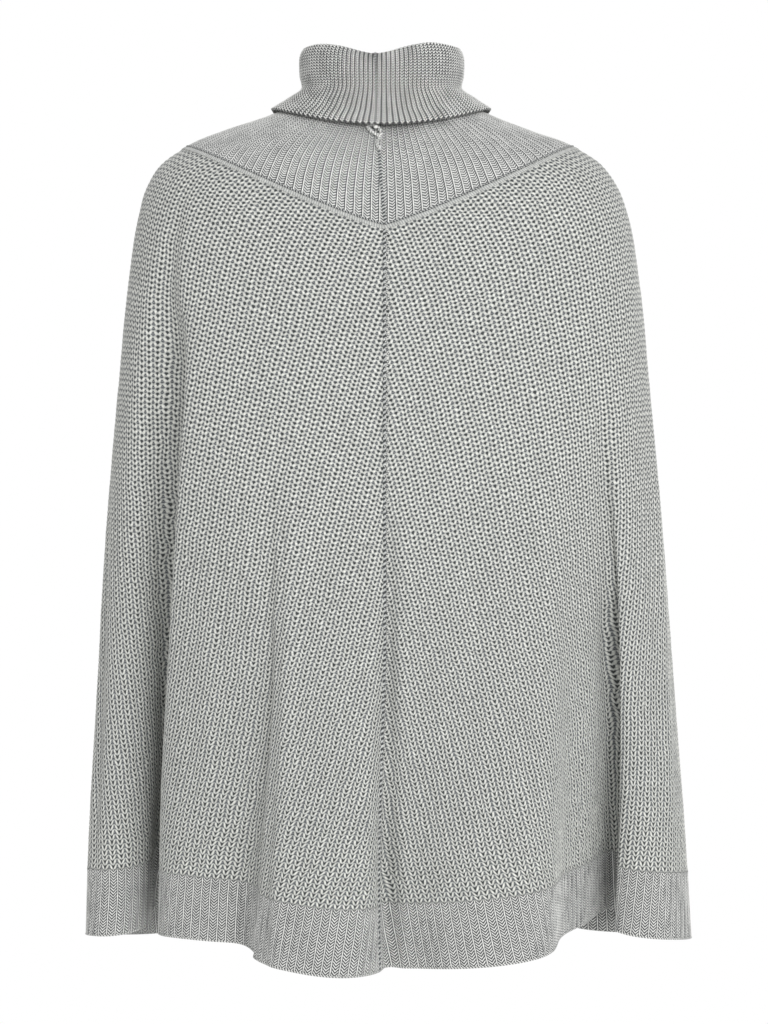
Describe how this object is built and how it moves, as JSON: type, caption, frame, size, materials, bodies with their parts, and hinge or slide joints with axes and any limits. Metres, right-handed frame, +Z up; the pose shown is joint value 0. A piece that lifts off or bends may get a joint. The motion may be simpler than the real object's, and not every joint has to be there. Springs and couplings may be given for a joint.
{
  "type": "knitted poncho sweater",
  "caption": "Wide knitted poncho sweater in its worn, hollow form: roll collar, ribbed yoke with a V-shaped seam, two body halves cut at an angle and joined at the centre, ribbed hem.",
  "frame": {"origin": "middle of the neck seam, where the collar meets the yoke and the garment hangs from the wearer's neck and shoulders", "axes": "+Z up out of the collar, -Y out of the garment's back, +X towards the wearer's right hand"},
  "size_m": [0.5346, 0.3062, 0.7971],
  "materials": {
    "body_knit": "half-cardigan knit of wool-blend yarn, matt",
    "rib_knit": "1x1 rib knit of wool-blend yarn, matt",
    "yarn": "plied yarn"
  },
  "bodies": {
    "root": {"collar": "rib_knit", "yoke": "rib_knit", "body_left": "body_knit", "body_right": "body_knit", "hem_left": "rib_knit", "hem_right": "rib_knit", "back_loop": "yarn"}
  },
  "joints": []
}
